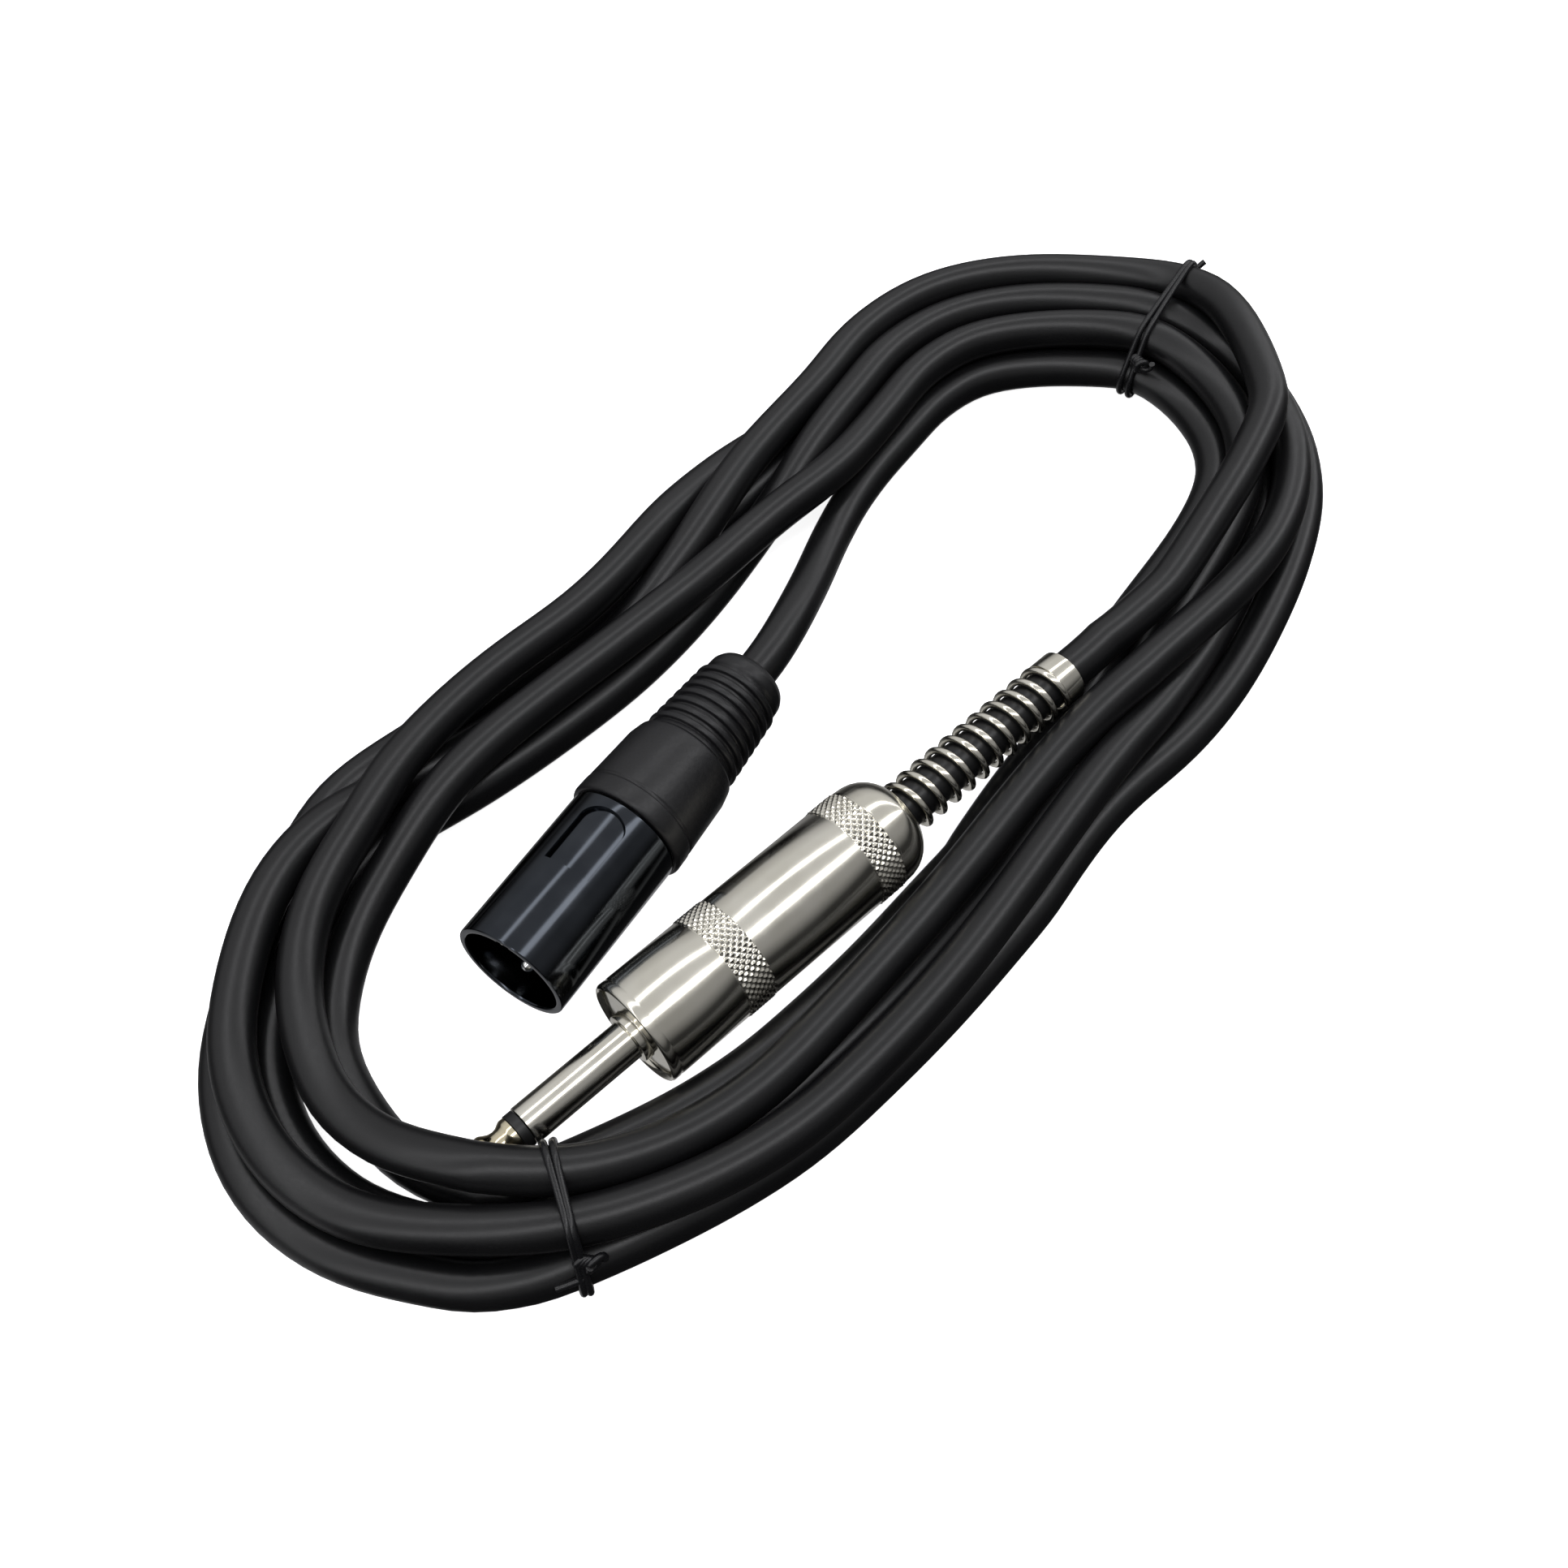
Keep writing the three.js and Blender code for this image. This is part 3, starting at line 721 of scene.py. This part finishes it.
def tie_loop(route, station):
    """The tight outline of a tie round every strand that passes a station, and the frame it is in."""
    centre = np.array([*STATIONS[station], 0.0])
    ahead, behind = middle_line(np.array([station + 0.05, station - 0.05]))
    along = np.array([*(ahead - behind), 0.0])
    along /= np.linalg.norm(along)
    outward = np.array([-along[1], along[0], 0.0])
    depth = (route - centre) @ along
    across = (route - centre) @ outward
    rim = []
    for k in np.where(depth[:-1] * depth[1:] <= 0)[0]:
        if abs(across[k]) > 25:
            continue
        share = depth[k] / (depth[k] - depth[k + 1])
        side = across[k] + share * (across[k + 1] - across[k])
        up = route[k, 2] + share * (route[k + 1, 2] - route[k, 2])
        reach = CORD_R + TIE_WIRE_R
        for j in range(24):
            angle = 2 * math.pi * j / 24
            rim.append((side + reach * math.cos(angle), max(up + reach * math.sin(angle), TIE_WIRE_R)))
    hull = np.array([rim[k] for k in convex_hull_2d(rim)])
    hull = np.vstack([hull, hull[:1]])
    line = resampled(np.column_stack([hull, np.zeros(len(hull))]), 0.8)[:-1, :2]
    return line, centre, along, outward


def make_tie(end, station, slant, knot_at, knot_way, tail_at, tail_way):
    """Plastic-coated wire wound twice round the bundle, with a twisted knot and a loose end."""
    line, centre, along, outward = tie_loop(ROUTE, station)
    middle = line.mean(0)

    def point(side, up, depth):
        lift = np.array([0, 0, max(up, TIE_WIRE_R)])
        return centre + outward * side + along * (depth + slant * side) + lift

    def rim_point(place):
        return line[np.argmin(np.linalg.norm(line - middle - np.array(place), axis=1))]

    lines = []
    for wrap in (-1, 1):
        loop = []
        for k, (side, up) in enumerate(line):
            sway = 0.35 * math.sin(2 * math.pi * k / len(line) + wrap)
            loop.append(point(side, up, wrap * 1.1 * TIE_WIRE_R + sway))
        lines.append([*loop, loop[0]])
    side, up = rim_point(knot_at)
    for phase in (0.0, math.pi):
        strand = []
        for share in np.linspace(0, 1, 41):
            angle = phase + share * KNOT_TWISTS * 2 * math.pi
            spread = TIE_WIRE_R * (1.0 + max(0.0, share - 0.75) * 6)
            reach = np.array(knot_way) * share * KNOT_LENGTH
            strand.append(point(
                side + reach[0] + spread * math.cos(angle) * 0.6,
                up + reach[2] + spread * math.sin(angle),
                reach[1] + spread * math.cos(angle),
            ))
        lines.append(strand)
    side, up = rim_point(tail_at)
    tail = []
    for k in range(5):
        run = 0.9 * k
        rise = 0.05 * k * k
        tail.append(point(side + tail_way[0] * run, up + tail_way[2] * run, tail_way[1] * run + rise))
    lines.append(tail)
    tie = wire(f"tie_{end}_wire", lines, TIE_WIRE_R, Matrix(), resolution=4)
    return dress(tie, "lead_body", "tie_plastic", f"tie_{end}")


# ---- the XLR plug ----
def make_xlr_shell():
    """The plated shell with its round-backed latch recess and the key groove in the mouth."""
    profile = rounded([
        (0, 8.45), (0.3, SHELL_BORE_R), (27, SHELL_BORE_R), (27, 6.9), (40, 6.9), (40, 7.6), (28.5, 7.6),
        (28.5, SHELL_R), (0, SHELL_R),
    ], 0.35, True)
    shell = turned("xlr_shell_tube", profile, 128, XLR_PLACE)
    latch_outline = [(LATCH_FROM, LATCH_HALF_WIDTH), (LATCH_FROM, -LATCH_HALF_WIDTH)]
    for angle in np.linspace(-math.pi / 2, math.pi / 2, 24):
        x = LATCH_ARC_AT + LATCH_ARC_REACH * math.cos(angle)
        latch_outline.append((x, LATCH_HALF_WIDTH * math.sin(angle)))
    latch = prism("latch_cutter", latch_outline, 6, 12, XLR_PLACE)
    floor_profile = [(10, 0), (10, LATCH_FLOOR_R), (32, LATCH_FLOOR_R), (32, 0)]
    latch_floor = turned("latch_floor", floor_profile, 128, XLR_PLACE, closed=False)
    cut_away(latch, [latch_floor])
    groove = prism("key_cutter", [(-1, 1.1), (-1, -1.1), (8, -1.1), (8, 1.1)], 7.9, 8.75, XLR_PLACE)
    cut_away(shell, [latch, groove])
    return dress(shell, "lead_body", "black_chrome", "xlr_shell")


def make_xlr_pins():
    """Three round-nosed pins, each with a solder cup at its rear end."""
    profile = [(2.6, 0)]
    for k in range(1, 9):
        angle = math.pi / 2 * k / 8
        profile.append((2.6 + 1.5 * (1 - math.cos(angle)), PIN_R * math.sin(angle)))
    profile += [(15, PIN_R), (34, PIN_R), (36, PIN_R), (36, 0.8), (32.5, 0.8), (32.5, 0)]
    pins = []
    for k, (y, z) in enumerate(PIN_SPOTS, 1):
        place = XLR_PLACE @ Matrix.Translation(Vector((0, y, z)) * MM)
        pin = turned(f"xlr_contact_{k}", profile, 40, place, closed=False)
        pins.append(dress(pin, "lead_body", "silver", f"xlr_pin_{k}"))
    return pins


def make_xlr_boot():
    """The rubber boot with its collar, seven ribs and a neck that fits the cable."""
    outside = [
        (28.8, 9.75), (29.3, 10.15), (32.1, 10.05), (32.3, 9.75), (32.7, 9.75), (32.9, 9.95),
        (36.5, 9.75), (42.5, 9.45), (45.0, 8.9),
    ]
    for k in range(RIB_COUNT):
        x = RIB_FROM + RIB_PITCH * k
        radius = 8.5 - 0.16 * k
        outside += [(x - 0.25, radius - RIB_DEPTH), (x + 0.45, radius - RIB_DEPTH)]
        outside += [(x + 0.6, radius - 0.08), (x + 1.1, radius), (x + 1.5, radius - 0.05)]
    outside += [
        (60.2, 6.4), (60.7, 6.5), (61.2, 6.95), (62.8, 6.8), (63.9, 6.2), (64.4, 5.4), (XLR_EXIT, 4.6),
    ]
    inside = [
        (64.3, CORD_R + 0.25), (58.6, CORD_R + 0.3), (58.6, 6.0), (54.6, 6.5), (54.6, 7.25),
        (47.2, 7.6), (44.2, 8.6), (28.8, 9.1),
    ]
    boot = turned("xlr_boot_rubber", rounded(outside + inside, 0.3, True), 128, XLR_PLACE, crease=50)
    return dress(boot, "xlr_cap", "black_rubber", "xlr_boot")


# ---- the jack ----
def make_jack_tip():
    """The gilt point with its waist, and the rod behind it through the shaft."""
    profile = [
        (0, 0), (0.05, 0.6), (0.35, 1.15), (0.9, 1.75), (1.6, 2.3), (2.3, 2.75), (2.9, 3.05),
        (3.4, SHAFT_R), (3.8, 3.12), (4.4, 2.75), (5.0, 2.42), (5.7, 2.28), (6.3, 2.35), (6.9, 2.7),
        (7.3, 2.9), (8.0, 2.9), (8.0, 1.2), (46.5, 1.2), (46.5, 0),
    ]
    tip = turned("jack_point", profile, 72, JACK_PLACE, closed=False, crease=40)
    return dress(tip, "lead_body", "gilt", "jack_tip")


def make_jack_ring():
    """The black ring between point and shaft, with its tube inside the shaft."""
    profile = rounded([
        (8.1, 1.5), (8.1, 3.02), (9.6, 3.02), (9.6, 2.2), (43.4, 2.2), (43.4, 1.5),
    ], 0.12, True)
    ring = turned("jack_point_ring", profile, 72, JACK_PLACE)
    return dress(ring, "lead_body", "black_plastic", "jack_tip_insulator")


def make_jack_sleeve():
    """The plated shaft with its shoulder and the body that the barrel screws onto."""
    profile = rounded([
        (9.7, 2.5), (9.7, SHAFT_R), (28.9, SHAFT_R), (29.0, 4.1), (30.5, 4.1), (30.6, 5.6), (30.9, 7.6),
        (33.4, 7.7), (33.4, 7.0), (42, 7.0), (42, 2.5),
    ], 0.2, True)
    sleeve = turned("jack_shaft", profile, 96, JACK_PLACE)
    return dress(sleeve, "lead_body", "nickel", "jack_sleeve")


def knurl_height(x, radius, angle):
    """Diamond points where two sets of slanting grooves cross, on the two bands only."""
    if radius < BARREL_R - 0.2:
        return 0.0
    for low, high in KNURL_BANDS:
        if low < x < high:
            turn = KNURL_ROUND * angle / (2 * math.pi)
            slide = x * KNURL_ROUND / (2 * math.pi * BARREL_R)
            ridges = [abs(2 * ((turn + way * slide) % 1.0) - 1.0) for way in (1, -1)]
            return KNURL_DEPTH * (min(ridges) - 0.55)
    return 0.0


def make_jack_barrel():
    """The plated barrel with a rim groove, two knurled bands and a rounded rear."""
    rear = [
        (78.2, BARREL_R - 0.02), (79.6, 8.78), (80.8, 8.5), (81.8, 8.05), (82.7, 7.45), (83.4, 6.75),
        (83.9, 6.1), (BARREL_TO, 5.4),
    ]
    outside = [
        (BARREL_FROM + 0.1, 8.25), (BARREL_FROM, 8.45), (BARREL_FROM + 0.15, 8.72),
        (BARREL_FROM + 0.5, BARREL_R), (31.6, BARREL_R), (31.8, 8.78), (32.0, 8.78), (32.2, BARREL_R),
    ]
    for low, high in KNURL_BANDS:
        outside += [(low - 0.35, BARREL_R), (low - 0.2, BARREL_R - 0.12), (low, BARREL_R - 0.12)]
        outside += [(x, BARREL_R + 0.05) for x in np.linspace(low + 0.05, high - 0.05, 34)]
        outside += [(high, BARREL_R - 0.12), (high + 0.2, BARREL_R - 0.12), (high + 0.35, BARREL_R)]
    inside = [(BARREL_TO - 0.2, 5.0), (80.6, 5.0), (80.6, 8.25), (43.4, 8.25), (43.4, 7.9), (31.0, 7.9)]
    profile = outside + rear + inside
    sides = KNURL_ROUND * 8
    barrel = turned("jack_cover_barrel", profile, sides, JACK_PLACE, relief=knurl_height, crease=40)
    return dress(barrel, "jack_cover", "nickel", "jack_barrel")


def make_jack_spring():
    """The strain relief: a wound wire that ends in a plain band."""
    steps = int(SPRING_TURNS * 28)
    points = []
    for k in range(steps + 1):
        angle = 2 * math.pi * SPRING_TURNS * k / steps
        x = SPRING_FROM + (SPRING_BAND + 0.3 - SPRING_FROM) * k / steps
        points.append((x, SPRING_MEAN_R * math.cos(angle), SPRING_MEAN_R * math.sin(angle)))
    spring = wire("jack_spring_coil", [points], SPRING_WIRE_R, JACK_PLACE, resolution=4)
    dress(spring, "jack_cover", "nickel", "jack_spring")
    profile = rounded([
        (SPRING_BAND, BAND_BORE_R), (SPRING_BAND, BAND_R), (SPRING_TO, BAND_R), (SPRING_TO, BAND_BORE_R),
    ], 0.25, True)
    band = turned("jack_spring_band", profile, 72, JACK_PLACE)
    dress(band, "jack_cover", "nickel")
    return [spring, band]


# ---- the build ----
MATERIALS = make_materials()
make_camera()
ROUTE = settled_route()
cable = make_cord(ROUTE)
ties = [
    make_tie("near", NEAR_TIE, -0.13, (9, 3), (0.1, -0.5, -0.2), (10, 0), (0.1, 0.9, -0.3)),
    make_tie("far", FAR_TIE, 0.0, (-11, 1), (-0.3, 0.6, 0.0), (11, 4), (0.7, 0.1, 0.6)),
]
make_xlr_shell()
make_xlr_pins()
make_xlr_boot()
jack = [make_jack_tip(), make_jack_ring(), make_jack_sleeve(), make_jack_barrel(), *make_jack_spring()]
dress_cad_nodes()
make_studio()
make_floor()
